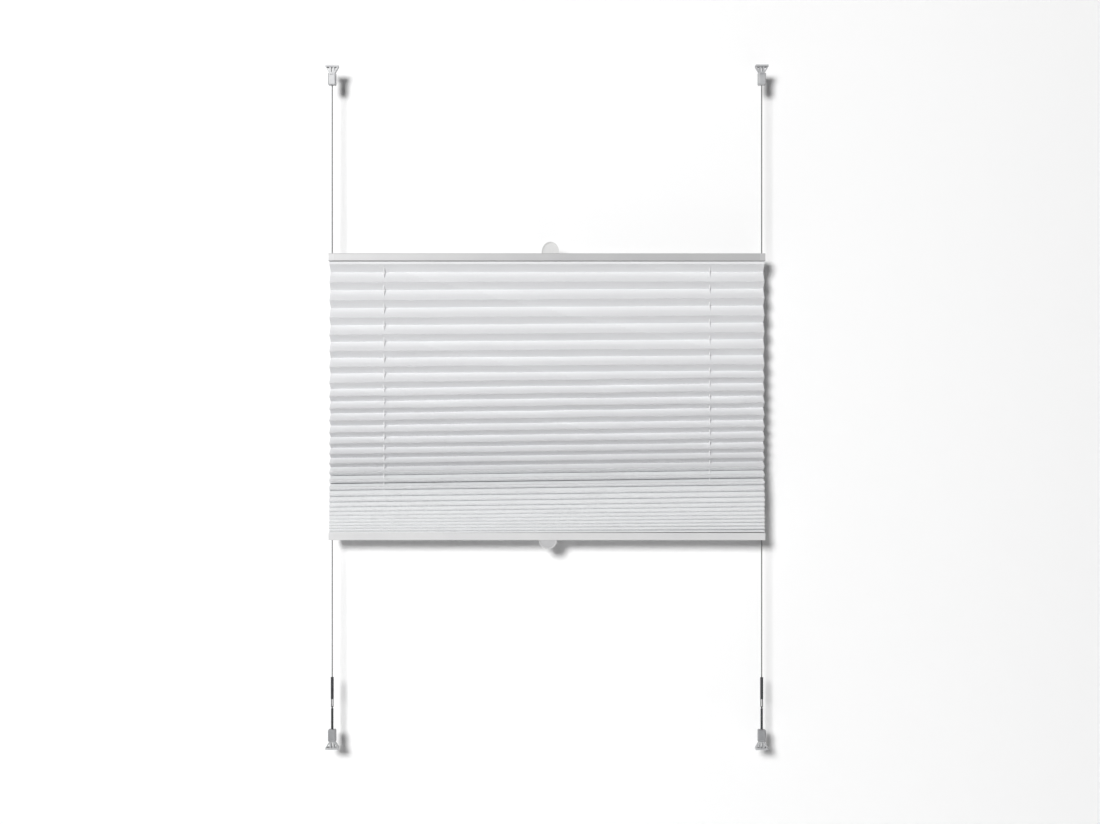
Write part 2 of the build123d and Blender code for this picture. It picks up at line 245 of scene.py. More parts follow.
def backdrop_paint():
    """Matt white paint that is only there from its front, so it never hides the blind."""
    material = bpy.data.materials.new("matt_white_wall_paint")
    material.use_nodes = True
    tree = material.node_tree
    paint = tree.nodes["Principled BSDF"]
    paint.inputs["Base Color"].default_value = linear("#FEFEFE")
    paint.inputs["Roughness"].default_value = 0.9
    side = add(tree, "ShaderNodeNewGeometry")
    clear = add(tree, "ShaderNodeBsdfTransparent")
    both = add(
        tree,
        "ShaderNodeMixShader",
        {0: side.outputs["Backfacing"], 1: paint.outputs[0], 2: clear.outputs[0]},
    )
    tree.links.new(both.outputs[0], tree.nodes["Material Output"].inputs[0])
    return material


def plane(name, corners, material):
    """A staged rectangle that isn't part of the blind."""
    mesh = bpy.data.meshes.new(name)
    mesh.from_pydata(corners, [], [range(4)])
    mesh.materials.append(material)
    mesh_object(name, mesh)


wall_paint = backdrop_paint()
WALL_HALF, WALL_TOP = 1.6, 2.2
FLOOR_Z, FLOOR_FRONT, FLOOR_BACK = -1.1, -1.8, 1.8
plane(
    "wall",
    [
        (-WALL_HALF, WALL_GAP, FLOOR_Z),
        (WALL_HALF, WALL_GAP, FLOOR_Z),
        (WALL_HALF, WALL_GAP, WALL_TOP),
        (-WALL_HALF, WALL_GAP, WALL_TOP),
    ],
    wall_paint,
)
plane(
    "floor",
    [
        (-WALL_HALF, FLOOR_FRONT, FLOOR_Z),
        (WALL_HALF, FLOOR_FRONT, FLOOR_Z),
        (WALL_HALF, FLOOR_BACK, FLOOR_Z),
        (-WALL_HALF, FLOOR_BACK, FLOOR_Z),
    ],
    wall_paint,
)

# --- Materials ---


def surface(name, colour, roughness, metallic=0.0):
    """A new material: itself, its tree, its Principled node and object coordinates."""
    material = bpy.data.materials.new(name)
    material.use_nodes = True
    tree = material.node_tree
    shader = tree.nodes["Principled BSDF"]
    shader.inputs["Base Color"].default_value = linear(colour)
    shader.inputs["Roughness"].default_value = roughness
    shader.inputs["Metallic"].default_value = metallic
    place = add(tree, "ShaderNodeTexCoord").outputs["Object"]
    return material, tree, shader, place


def mottled(tree, shader, place, pale, dark, size):
    """Slow colour variation, with a blotch of the given size in metres."""
    cloud = add(
        tree, "ShaderNodeTexNoise", {"Vector": place, "Scale": 1 / size, "Detail": 3.0}
    )
    ramp = add(tree, "ShaderNodeValToRGB", {"Fac": cloud.outputs[0]})
    ramp.color_ramp.elements[0].position = 0.3
    ramp.color_ramp.elements[0].color = linear(dark)
    ramp.color_ramp.elements[1].position = 0.7
    ramp.color_ramp.elements[1].color = linear(pale)
    tree.links.new(ramp.outputs[0], shader.inputs["Base Color"])


def grainy(tree, shader, place, size, height, strength=0.5):
    """Fine surface grain, its size and height in metres."""
    grain = add(
        tree, "ShaderNodeTexNoise", {"Vector": place, "Scale": 1 / size, "Detail": 2.0}
    )
    bump = add(
        tree,
        "ShaderNodeBump",
        {"Height": grain.outputs[0], "Strength": strength, "Distance": height},
    )
    tree.links.new(bump.outputs[0], shader.inputs["Normal"])


def powder_coat(name, pale, dark):
    """Powder-coated aluminium extrusion: satin white with a faint orange peel."""
    material, tree, shader, place = surface(name, pale, 0.36)
    mottled(tree, shader, place, pale, dark, 60 * MM)
    grainy(tree, shader, place, 1.4 * MM, 0.02 * MM, 0.4)
    return material


def moulded(name, pale, dark, roughness, glow=0.0):
    """Injection-moulded plastic: smooth with a spark-eroded grain, and soft edges where
    light glows through it."""
    material, tree, shader, place = surface(name, pale, roughness)
    mottled(tree, shader, place, pale, dark, 18 * MM)
    grainy(tree, shader, place, 0.5 * MM, 0.02 * MM, 0.5)
    shader.inputs["Subsurface Weight"].default_value = glow
    shader.inputs["Subsurface Radius"].default_value = (1.0, 1.0, 1.0)
    shader.inputs["Subsurface Scale"].default_value = 1.5 * MM
    return material


def paint_recess_shade(name, rim, face):
    """The same moulded plastic, with the sunk face inside its rim painted darker as shade."""
    material, tree, shader, place = surface(name, rim, 0.38)
    grainy(tree, shader, place, 0.5 * MM, 0.02 * MM, 0.5)
    depth = add(tree, "ShaderNodeSeparateXYZ", {0: place}).outputs["Y"]
    rim_edge, floor_edge = HANDLE_FRONT + 0.25 * RIM_DEPTH, HANDLE_FRONT + 0.95 * RIM_DEPTH
    sunk = add(
        tree,
        "ShaderNodeMapRange",
        {"Value": depth, 1: rim_edge, 2: floor_edge, 3: 0.0, 4: 1.0},
    )
    # painted shade: the colour goes from the rim's to the darker face's as the surface sinks
    # behind the rim
    ramp = add(tree, "ShaderNodeValToRGB", {"Fac": sunk.outputs[0]})
    ramp.color_ramp.elements[0].color = linear(rim)
    ramp.color_ramp.elements[1].color = linear(face)
    tree.links.new(ramp.outputs[0], shader.inputs["Base Color"])
    return material


def steel_wire():
    """Zinc-plated spring wire: bright grey metal, brushed along by drawing."""
    material, tree, shader, place = surface("zinc_plated_spring_steel", "#5E5F61", 0.34, 1.0)
    mottled(tree, shader, place, "#646567", "#4D4E51", 3 * MM)
    grainy(tree, shader, place, 0.25 * MM, 0.01 * MM, 0.5)
    return material


def vinyl():
    """Soft PVC sleeve: dark grey with a dull shine and faint rings from cutting."""
    material, tree, shader, place = surface("soft_pvc_tube", "#38393C", 0.42)
    mottled(tree, shader, place, "#3C3D40", "#323336", 6 * MM)
    grainy(tree, shader, place, 0.8 * MM, 0.05 * MM, 0.5)
    return material


def braid(name, ridge, strand_shade):
    """Braided polyester cord: matt, with slanting strands, painted darker between them as
    shade.
    """
    material, tree, shader, place = surface(name, ridge, 0.75)
    shader.inputs["Sheen Weight"].default_value = 0.12
    shader.inputs["Sheen Roughness"].default_value = 0.5
    # painted shade: its strands are darker where the relief stored by the braid tree is low
    relief = add(tree, "ShaderNodeAttribute", attribute_name="relief")
    ramp = add(tree, "ShaderNodeValToRGB", {"Fac": relief.outputs["Fac"]})
    ramp.color_ramp.elements[0].color = linear(strand_shade)
    ramp.color_ramp.elements[1].position = 0.6
    ramp.color_ramp.elements[1].color = linear(ridge)
    tree.links.new(ramp.outputs[0], shader.inputs["Base Color"])
    grainy(tree, shader, place, 0.15 * MM, 0.03 * MM, 0.6)
    return material


def cloth_finish():
    """Woven polyester, stiffened for pleating: matt cool white with a fine plain weave."""
    material, tree, shader, place = surface("pleated_polyester_cloth", "#F1F2F3", 0.82)
    shader.inputs["Sheen Weight"].default_value = 0.15
    shader.inputs["Sheen Roughness"].default_value = 0.6
    shader.inputs["Subsurface Weight"].default_value = 0.25
    shader.inputs["Subsurface Radius"].default_value = (1.0, 1.0, 1.0)
    shader.inputs["Subsurface Scale"].default_value = 0.6 * MM
    flat = add(tree, "ShaderNodeUVMap", uv_map="UVMap").outputs[0]
    # threads of 0.35 mm are too fine to show, so they are drawn 0.9 mm apart; at a scale
    # of 1 the wave's bands are 2 pi / 20 of a metre apart
    thread = 0.9 * MM
    bands = 2 * math.pi / (20 * thread)
    warp = add(
        tree,
        "ShaderNodeTexWave",
        {"Vector": flat, "Scale": bands, "Distortion": 0.6, "Detail": 1.0},
        bands_direction="X",
    )
    weft = add(
        tree,
        "ShaderNodeTexWave",
        {"Vector": flat, "Scale": bands, "Distortion": 0.6, "Detail": 1.0},
        bands_direction="Y",
    )
    weave = add(
        tree,
        "ShaderNodeMath",
        {0: warp.outputs["Fac"], 1: weft.outputs["Fac"]},
        operation="MULTIPLY",
    )
    slub = add(
        tree, "ShaderNodeTexNoise", {"Vector": flat, "Scale": 1 / (4 * MM), "Detail": 4.0}
    )
    height = add(
        tree, "ShaderNodeMath", {0: weave.outputs[0], 1: slub.outputs[0]}, operation="ADD"
    )
    bump = add(
        tree,
        "ShaderNodeBump",
        {"Height": height.outputs[0], "Strength": 0.35, "Distance": 0.06 * MM},
    )
    tree.links.new(bump.outputs[0], shader.inputs["Normal"])
    # the weave is a little darker where it is low: painted shade between the threads, together
    # with the slubs' own tone
    tint = add(tree, "ShaderNodeValToRGB", {"Fac": height.outputs[0]})
    tint.color_ramp.elements[0].position = 0.25
    tint.color_ramp.elements[0].color = linear("#DEDFE1")
    tint.color_ramp.elements[1].position = 1.0
    tint.color_ramp.elements[1].color = linear("#E3E3E4")
    # painted light: the tightly stacked lower part of the cloth is painted paler, against the
    # shade between its folds; from here on down the cloth
    painted_light_from, painted_light_full = 0.5, 0.75
    down = add(tree, "ShaderNodeSeparateXYZ", {0: flat}).outputs["Y"]
    painted_light_share = add(
        tree, "ShaderNodeMapRange", {"Value": down, 1: painted_light_from, 2: painted_light_full, 3: 0.0, 4: 1.0}
    ).outputs[0]
    stack_painted_light = add(
        tree,
        "ShaderNodeMix",
        {0: painted_light_share, 6: tint.outputs[0], 7: linear("#E8E9EA")},
        data_type="RGBA",
    )
    tree.links.new(stack_painted_light.outputs[2], shader.inputs["Base Color"])
    return material


# the rails share one powder coat in two copies: the upper one painted darker, as shade, and the
# lower one paler, as light
shaded_upper_coat = powder_coat("powder_coated_aluminium_painted_shade_upper", "#B6B6B6", "#B1B1B2")
lit_lower_coat = powder_coat("powder_coated_aluminium_painted_light_lower", "#D5D5D5", "#D0D0D1")
abs_white = moulded("moulded_abs", "#D0D0CF", "#CBCBCB", 0.34, 0.1)
recess_shaded_abs = paint_recess_shade("moulded_abs_painted_recess_shade", "#CDCDCD", "#B9B9BA")
# the end caps share one plastic in two copies: the upper caps painted darker, as shade, and the
# lower caps paler, as light
shaded_upper_cap_abs = moulded("moulded_cap_abs_painted_shade_upper", "#BFBFBF", "#BABABB", 0.38, 0.1)
lit_lower_cap_abs = moulded("moulded_cap_abs_painted_light_lower", "#D9D9D9", "#D3D3D4", 0.38, 0.1)
nylon = moulded("natural_nylon", "#BABBBC", "#AEAFB1", 0.4, 0.35)
# the lower shoes' barrels: the same nylon, painted darker as shade
nylon_painted_shade = moulded("nylon_painted_shade", "#9FA0A2", "#939496", 0.4, 0.35)
acetal = moulded("acetal", "#DCDCDA", "#D4D4D3", 0.3)
spring_steel = steel_wire()
sleeve_vinyl = vinyl()
polyester_braid = braid("braided_polyester", "#3E3F41", "#232426")
# between the rails the same cord is painted pale: painted light, for the light that comes
# through the cloth
braid_painted_light = braid("braided_polyester_painted_light", "#E8E8E9", "#DADADC")
cloth = cloth_finish()

# --- Cords ---


def braid_tree():
    """A round braid that follows a curve: two sets of strands wound against each other."""
    tree, given = new_tree(
        "braided cord",
        {
            "Radius": "F",
            "Relief": "F",
            "Step": "F",
            "Sides": "I",
            "Strand length": "F",
            "Material": "M",
        },
    )
    line = add(
        tree,
        "GeometryNodeResampleCurve",
        {"Curve": given["Geometry"], "Length": given["Step"]},
        mode="LENGTH",
    )
    along = add(tree, "GeometryNodeCaptureAttribute", {"Geometry": line.outputs[0]})
    along.capture_items.new("FLOAT", "along")
    tree.links.new(add(tree, "GeometryNodeSplineParameter").outputs["Length"], along.inputs[1])
    ring = add(
        tree,
        "GeometryNodeCurvePrimitiveCircle",
        {"Resolution": given["Sides"], "Radius": given["Radius"]},
    )
    around = add(tree, "GeometryNodeCaptureAttribute", {"Geometry": ring.outputs[0]})
    around.capture_items.new("FLOAT", "around")
    tree.links.new(add(tree, "GeometryNodeSplineParameter").outputs["Factor"], around.inputs[1])
    tube = add(
        tree,
        "GeometryNodeCurveToMesh",
        {"Curve": along.outputs[0], "Profile Curve": around.outputs[0], "Fill Caps": True},
    )
    strands = 4.0
    turn = add(
        tree, "ShaderNodeMath", {0: around.outputs[1], 1: strands}, operation="MULTIPLY"
    ).outputs[0]
    climb = add(
        tree,
        "ShaderNodeMath",
        {0: along.outputs[1], 1: given["Strand length"]},
        operation="DIVIDE",
    ).outputs[0]
    ridges = []
    for way in ("ADD", "SUBTRACT"):
        wound = add(tree, "ShaderNodeMath", {0: turn, 1: climb}, operation=way)
        angle = add(
            tree, "ShaderNodeMath", {0: wound.outputs[0], 1: math.pi}, operation="MULTIPLY"
        )
        wave = add(tree, "ShaderNodeMath", {0: angle.outputs[0]}, operation="SINE")
        ridges.append(add(tree, "ShaderNodeMath", {0: wave.outputs[0]}, operation="ABSOLUTE"))
    relief = add(
        tree,
        "ShaderNodeMath",
        {0: ridges[0].outputs[0], 1: ridges[1].outputs[0]},
        operation="MAXIMUM",
    )
    lift = add(
        tree, "ShaderNodeMath", {0: relief.outputs[0], 1: given["Relief"]}, operation="MULTIPLY"
    )
    out = add(
        tree,
        "ShaderNodeVectorMath",
        {0: add(tree, "GeometryNodeInputNormal").outputs[0], "Scale": lift.outputs[0]},
        operation="SCALE",
    )
    raised = add(
        tree, "GeometryNodeSetPosition", {"Geometry": tube.outputs[0], "Offset": out.outputs[0]}
    )
    kept = add(
        tree,
        "GeometryNodeStoreNamedAttribute",
        {"Geometry": raised.outputs[0], "Name": "relief", "Value": relief.outputs[0]},
        data_type="FLOAT",
        domain="POINT",
    )
    close_tree(tree, kept.outputs[0], given["Material"])
    return tree


cord_tree = braid_tree()
STRAND_LENGTH = 1.6 * MM
RELIEF, SIDES = 0.07 * MM, 16
HIDDEN_RELIEF, HIDDEN_SIDES = 0.03 * MM, 12  # where a cord is hardly seen
SEEN_STEP, LOOP_STEP, CLOTH_STEP, RAIL_STEP = 0.5 * MM, 0.4 * MM, 1.5 * MM, 2.0 * MM


def cord_piece(name, route, step, relief=RELIEF, sides=SIDES, finish=polyester_braid):
    """A braided cord on one smooth NURBS line near its route, and that line's points."""
    data = bpy.data.curves.new(name + "_route", "CURVE")
    data.dimensions = "3D"
    spline = data.splines.new("NURBS")
    spline.points.add(len(route) - 1)
    for point, place in zip(spline.points, route):
        point.co = (*place, 1.0)
    spline.order_u = 3
    spline.use_endpoint_u = True
    data.resolution_u = 12
    holder = bpy.data.objects.new(name + "_route", data)
    bpy.context.scene.collection.objects.link(holder)
    line = bpy.data.meshes.new_from_object(holder)
    path = [tuple(v.co) for v in line.vertices]
    bpy.data.meshes.remove(line)
    piece = grown(
        cord_tree,
        name,
        holder,
        Radius=CORD / 2 - relief,
        Relief=relief,
        Step=step,
        Sides=sides,
        Strand_length=STRAND_LENGTH,
        Material=finish,
    )
    face_outwards(piece.data)
    for face in piece.data.polygons:
        face.use_smooth = True
    return piece, path


def upright_route(x, y, high, low):
    """A straight stretch, from its first height to its second."""
    return [(x, y, high), (x, y, (high + low) / 2), (x, y, low)]


def pleat_heights():
    """Height of each front fold by the pleating rule, from the top rail down."""
    shares = [pleat_share(k) for k in range(PLEATS)]
    height = cloth_high[2] - cloth_low[2] - CLOTH
    z, heights = cloth_high[2] - CLOTH / 2, []
    for share in shares:
        heights.append(z)
        z -= share * height / sum(shares)
    return heights + [z]


def pleat_share(k):
    """How much of the height pleat k takes, against a fully open one."""
    u = ((k + 0.5) / PLEATS) ** CROWDING
    return TIGHTEST_SHARE + (1 - TIGHTEST_SHARE) * (1 + math.cos(math.pi * u)) / 2


SPLIT_Z = pleat_heights()[FREE_SPLIT]

for name, side in LEFT_AND_RIGHT.items():
    x, y = side * SHOE_X, -side * CORD_OFFSET
    low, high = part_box(f"{name}_upper_cord")
    route = upright_route(x, y, high[2], low[2])
    piece, path = cord_piece(f"{name}_upper_braid", route, SEEN_STEP)
    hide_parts(f"{name}_upper_cord")
    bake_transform(piece)

    low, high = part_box(f"{name}_lower_cord")
    route = upright_route(x, y, low[2], high[2])
    piece, path = cord_piece(f"{name}_lower_braid", route, SEEN_STEP)
    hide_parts(f"{name}_lower_cord")
    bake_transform(piece)

    # the cord inside the cloth, in two stretches, from each rail down to the split
    x, y = side * HOLE_X, side * CORD_OFFSET
    for end, body, z in (
        ("top", "top_rail_body", TOP_RAIL_Z),
        ("bottom", "bottom_rail_body", BOTTOM_RAIL_Z),
    ):
        piece, path = cord_piece(
            f"{name}_cloth_braid_{end}",
            upright_route(x, y, z, SPLIT_Z),
            CLOTH_STEP,
            HIDDEN_RELIEF,
            HIDDEN_SIDES,
            braid_painted_light,
        )
        if end == "top":
            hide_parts(f"{name}_fabric_cord")
        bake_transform(piece)

    # through each rail: in at the end cap, along, and out through the far eyelet
    x, y = side * SHOE_X, -side * CORD_OFFSET
    for end, up in (("top", 1), ("bottom", -1)):
        face = TOP_RAIL_Z if up > 0 else BOTTOM_RAIL_Z
        outer = TOP_RAIL_ROOF if up > 0 else BOTTOM_RAIL_FLOOR
        run = face + up * RAIL_RUN
        lead = 6 * CORD  # straight again this far past a bend
        far = -side * HOLE_X
        route = [
            (x, y, outer),
            (x, y, run),
            (x - side * lead, y, run),
            (far + side * lead, y, run),
            (far, y, run),
            (far, y, face),
        ]
        piece, path = cord_piece(
            f"{end}_rail_{name}_braid", route, RAIL_STEP, HIDDEN_RELIEF, HIDDEN_SIDES
        )
        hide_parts(f"{end}_rail_{name}_cord")
        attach(piece, f"{end}_rail_body")

    # the doubled end through the eye of the spring
    low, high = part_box(f"{name}_cord_loop")
    x, y = side * SHOE_X, -side * CORD_OFFSET
    bend = (high[0] - low[0]) / 2 - CORD / 2
    foot, top = low[2] + CORD / 2, high[2]
    route = [
        (x - bend, y, top),
        (x - bend, y, (foot + top) / 2),
        (x - bend * 1.05, y, foot + bend * 0.8),
        (x - bend * 0.7, y, foot - bend * 0.1),
        (x + bend * 0.7, y, foot - bend * 0.1),
        (x + bend * 1.05, y, foot + bend * 0.8),
        (x + bend, y, (foot + top) / 2),
        (x + bend, y, top),
    ]
    piece, path = cord_piece(f"{name}_loop_braid", route, LOOP_STEP)
    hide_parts(f"{name}_cord_loop")
    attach(piece, "cord_frame")


# --- Springs ---


def spring_tree():
    """Close-wound wire with an eye standing on its last turn."""
    tree, given = new_tree(
        "tension spring",
        {
            "Turns": "F",
            "Coil radius": "F",
            "Length": "F",
            "Eye radius": "F",
            "Eye height": "F",
            "Wire radius": "F",
            "Material": "M",
        },
    )
    steps_a_turn, eye_steps, wire_sides = 16, 28, 10
    coil = add(
        tree,
        "GeometryNodeCurveSpiral",
        {
            "Resolution": steps_a_turn,
            "Rotations": given["Turns"],
            "Start Radius": given["Coil radius"],
            "End Radius": given["Coil radius"],
            "Height": given["Length"],
        },
    )
    eye = add(
        tree,
        "GeometryNodeCurvePrimitiveCircle",
        {"Resolution": eye_steps, "Radius": given["Eye radius"]},
    )
    lift = add(tree, "ShaderNodeCombineXYZ", {"Z": given["Eye height"]})
    stood = add(
        tree,
        "GeometryNodeTransform",
        {
            "Geometry": eye.outputs[0],
            "Translation": lift.outputs[0],
            "Rotation": (0.0, math.pi / 2, 0.0),
        },
    )
    both = add(tree, "GeometryNodeJoinGeometry")
    tree.links.new(coil.outputs[0], both.inputs[0])
    tree.links.new(stood.outputs[0], both.inputs[0])
    wire = add(
        tree,
        "GeometryNodeCurvePrimitiveCircle",
        {"Resolution": wire_sides, "Radius": given["Wire radius"]},
    )
    swept = add(
        tree,
        "GeometryNodeCurveToMesh",
        {"Curve": both.outputs[0], "Profile Curve": wire.outputs[0], "Fill Caps": True},
    )
    close_tree(tree, swept.outputs[0], given["Material"])
    return tree


wound_spring = spring_tree()
TURN_PITCH = 1.03 * SPRING_WIRE
EYE_STANDS_OFF = 0.6  # of the coil's radius, from the last turn to the middle of the eye
for name, side in LEFT_AND_RIGHT.items():
    low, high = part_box(f"{name}_tension_spring")
    coil_r = (high[1] - low[1]) / 2 - SPRING_WIRE / 2
    eye_z = high[2] - coil_r - SPRING_WIRE / 2
    body = eye_z - EYE_STANDS_OFF * coil_r - low[2] - SPRING_WIRE
    piece = grown(
        wound_spring,
        f"{name}_wound_spring",
        Turns=body / TURN_PITCH,
        Coil_radius=coil_r,
        Length=body,
        Eye_radius=coil_r,
        Eye_height=eye_z - low[2] - SPRING_WIRE / 2,
        Wire_radius=SPRING_WIRE / 2,
        Material=spring_steel,
    )
    foot = (side * SHOE_X, -side * CORD_OFFSET, low[2] + SPRING_WIRE / 2)
    piece.data.transform(Matrix.Translation(foot))
    face_outwards(piece.data)
    for face in piece.data.polygons:
        face.use_smooth = True
    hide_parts(f"{name}_tension_spring")
    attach(piece, "cord_frame")

# --- Cloth ---


def cloth_tree():
    """Pleats whose pitch closes up from the top rail down to the stack on the bottom one.

    A line of folds is laid out by the pitch rule first. The cloth is a grid whose rows
    are spread between those folds, so every panel keeps its length."""
    tree, given = new_tree(
        "pleated cloth",
        {
            "Width": "F",
            "Top": "F",
            "Height": "F",
            "Panel": "F",
            "Pleats": "I",
            "Tightest share": "F",
            "Crowding": "F",
            "Tab reach": "F",
            "First fold": "I",
            "Last fold": "I",
            "Rows per panel": "I",
            "Columns": "I",
            "Slope": "F",
            "Slope pivot": "F",
            "Sag": "F",
            "Wrinkle": "F",
            "Bluntness": "F",
            "Back pull": "F",
            "Back softness": "F",
            "Open rise": "F",
            "Closed rise": "F",
            "Material": "M",
        },
    )
    folds = add(
        tree, "ShaderNodeMath", {0: given["Pleats"], 1: 2.0}, operation="MULTIPLY"
    ).outputs[0]
    # one point a fold, and one past each end for the tab that is glued in the rail
    count = add(tree, "ShaderNodeMath", {0: folds, 1: 3.0}, operation="ADD").outputs[0]
    line = add(tree, "GeometryNodeMeshLine", {"Count": count})
    index = add(tree, "GeometryNodeInputIndex").outputs[0]
    fold = add(tree, "ShaderNodeMath", {0: index, 1: 1.0}, operation="SUBTRACT").outputs[0]
    # each pleat's share of the height falls off down the blind, from 1 to the tightest share
    half = add(tree, "ShaderNodeMath", {0: fold, 1: 2.0}, operation="DIVIDE").outputs[0]
    pleat = add(tree, "ShaderNodeMath", {0: half}, operation="FLOOR").outputs[0]
    middle = add(tree, "ShaderNodeMath", {0: pleat, 1: 0.5}, operation="ADD").outputs[0]
    part = add(
        tree, "ShaderNodeMath", {0: middle, 1: given["Pleats"]}, operation="DIVIDE"
    ).outputs[0]
    crowded = add(
        tree, "ShaderNodeMath", {0: part, 1: given["Crowding"]}, operation="POWER"
    ).outputs[0]
    angle = add(
        tree, "ShaderNodeMath", {0: crowded, 1: math.pi}, operation="MULTIPLY"
    ).outputs[0]
    cosine = add(tree, "ShaderNodeMath", {0: angle}, operation="COSINE").outputs[0]
    open_share = add(
        tree,
        "ShaderNodeMapRange",
        {"Value": cosine, 1: -1.0, 2: 1.0, 3: given["Tightest share"], 4: 1.0},
    ).outputs[0]
    # the tabs take no share
    begun = add(tree, "ShaderNodeMath", {0: fold, 1: -0.5}, operation="GREATER_THAN").outputs[0]
    before_end = add(
        tree, "ShaderNodeMath", {0: folds, 1: 0.5}, operation="SUBTRACT"
    ).outputs[0]
    unfinished = add(
        tree, "ShaderNodeMath", {0: fold, 1: before_end}, operation="LESS_THAN"
    ).outputs[0]
    inside = add(
        tree, "ShaderNodeMath", {0: begun, 1: unfinished}, operation="MULTIPLY"
    ).outputs[0]
    share = add(
        tree, "ShaderNodeMath", {0: open_share, 1: inside}, operation="MULTIPLY"
    ).outputs[0]
    sums = add(
        tree, "GeometryNodeAccumulateField", {0: share}, data_type="FLOAT", domain="POINT"
    )
    one = add(
        tree, "ShaderNodeMath", {0: share, 1: sums.outputs["Total"]}, operation="DIVIDE"
    ).outputs[0]
    done = add(
        tree,
        "ShaderNodeMath",
        {0: sums.outputs["Trailing"], 1: sums.outputs["Total"]},
        operation="DIVIDE",
    ).outputs[0]
    rise = add(
        tree, "ShaderNodeMath", {0: one, 1: given["Height"]}, operation="MULTIPLY"
    ).outputs[0]
    fallen = add(
        tree, "ShaderNodeMath", {0: done, 1: given["Height"]}, operation="MULTIPLY"
    ).outputs[0]
    z = add(
        tree, "ShaderNodeMath", {0: given["Top"], 1: fallen}, operation="SUBTRACT"
    ).outputs[0]
    # a panel keeps its length, so the less it rises the deeper it reaches
    rise_2 = add(tree, "ShaderNodeMath", {0: rise, 1: rise}, operation="MULTIPLY").outputs[0]
    panel_2 = add(
        tree, "ShaderNodeMath", {0: given["Panel"], 1: given["Panel"]}, operation="MULTIPLY"
    ).outputs[0]
    depth_2 = add(
        tree, "ShaderNodeMath", {0: panel_2, 1: rise_2}, operation="SUBTRACT"
    ).outputs[0]
    depth = add(tree, "ShaderNodeMath", {0: depth_2}, operation="SQRT").outputs[0]
    odd = add(tree, "ShaderNodeMath", {0: fold, 1: 2.0}, operation="FLOORED_MODULO").outputs[0]
    sway = add(tree, "ShaderNodeMath", {0: odd, 1: 0.5}, operation="SUBTRACT").outputs[0]
    y = add(tree, "ShaderNodeMath", {0: depth, 1: sway}, operation="MULTIPLY").outputs[0]
    # the ends of the tabs have a depth of their own
    past_start = add(
        tree, "ShaderNodeMath", {0: index, 1: 0.5}, operation="GREATER_THAN"
    ).outputs[0]
    last = add(tree, "ShaderNodeMath", {0: folds, 1: 1.5}, operation="ADD").outputs[0]
    short_of_end = add(
        tree, "ShaderNodeMath", {0: index, 1: last}, operation="LESS_THAN"
    ).outputs[0]
    between = add(
        tree, "ShaderNodeMath", {0: past_start, 1: short_of_end}, operation="MULTIPLY"
    ).outputs[0]
    y_tab = add(
        tree,
        "ShaderNodeMix",
        {"Factor": between, 2: given["Tab reach"], 3: y},
        data_type="FLOAT",
    ).outputs[0]
    # the upper pleats hang a little lower than the rule says, by their own weight
    share_down = add(tree, "ShaderNodeMath", {0: fold, 1: folds}, operation="DIVIDE").outputs[0]
    sag = add(tree, "ShaderNodeFloatCurve", {"Value": share_down})
    hang = add(
        tree, "ShaderNodeMath", {0: sag.outputs[0], 1: given["Sag"]}, operation="MULTIPLY"
    ).outputs[0]
    hang_in = add(
        tree, "ShaderNodeMath", {0: hang, 1: between}, operation="MULTIPLY"
    ).outputs[0]
    z_low = add(tree, "ShaderNodeMath", {0: z, 1: hang_in}, operation="SUBTRACT").outputs[0]
    # back folds are drawn up a little, most where the pleats are open
    drawn_up = add(
        tree, "ShaderNodeMath", {0: rise, 1: given["Panel"]}, operation="DIVIDE"
    ).outputs[0]
    pull = add(tree, "ShaderNodeMath", {0: drawn_up, 1: rise}, operation="MULTIPLY").outputs[0]
    pulled = add(
        tree, "ShaderNodeMath", {0: pull, 1: given["Back pull"]}, operation="MULTIPLY"
    ).outputs[0]
    back_only = add(
        tree, "ShaderNodeMath", {0: pulled, 1: odd}, operation="MULTIPLY"
    ).outputs[0]
    pull_in = add(
        tree, "ShaderNodeMath", {0: back_only, 1: between}, operation="MULTIPLY"
    ).outputs[0]
    z_hung = add(tree, "ShaderNodeMath", {0: z_low, 1: pull_in}, operation="ADD").outputs[0]
    spot = add(tree, "ShaderNodeCombineXYZ", {"Y": y_tab, "Z": z_hung}).outputs[0]
    laid = add(
        tree, "GeometryNodeSetPosition", {"Geometry": line.outputs[0], "Position": spot}
    ).outputs[0]

    # the grid of the cloth, from its first fold to its last, with a few rows to each panel
    span_folds = add(
        tree,
        "ShaderNodeMath",
        {0: given["Last fold"], 1: given["First fold"]},
        operation="SUBTRACT",
    ).outputs[0]
    steps = add(
        tree,
        "ShaderNodeMath",
        {0: span_folds, 1: given["Rows per panel"]},
        operation="MULTIPLY",
    ).outputs[0]
    rows = add(tree, "ShaderNodeMath", {0: steps, 1: 1.0}, operation="ADD").outputs[0]
    sheet = add(
        tree,
        "GeometryNodeMeshGrid",
        {
            "Size X": given["Width"],
            "Size Y": 1.0,
            "Vertices X": given["Columns"],
            "Vertices Y": rows,
        },
    )
    row = add(
        tree, "ShaderNodeMath", {0: index, 1: rows}, operation="FLOORED_MODULO"
    ).outputs[0]
    row_part = add(
        tree, "ShaderNodeMath", {0: row, 1: given["Rows per panel"]}, operation="DIVIDE"
    ).outputs[0]
    s = add(
        tree, "ShaderNodeMath", {0: row_part, 1: given["First fold"]}, operation="ADD"
    ).outputs[0]
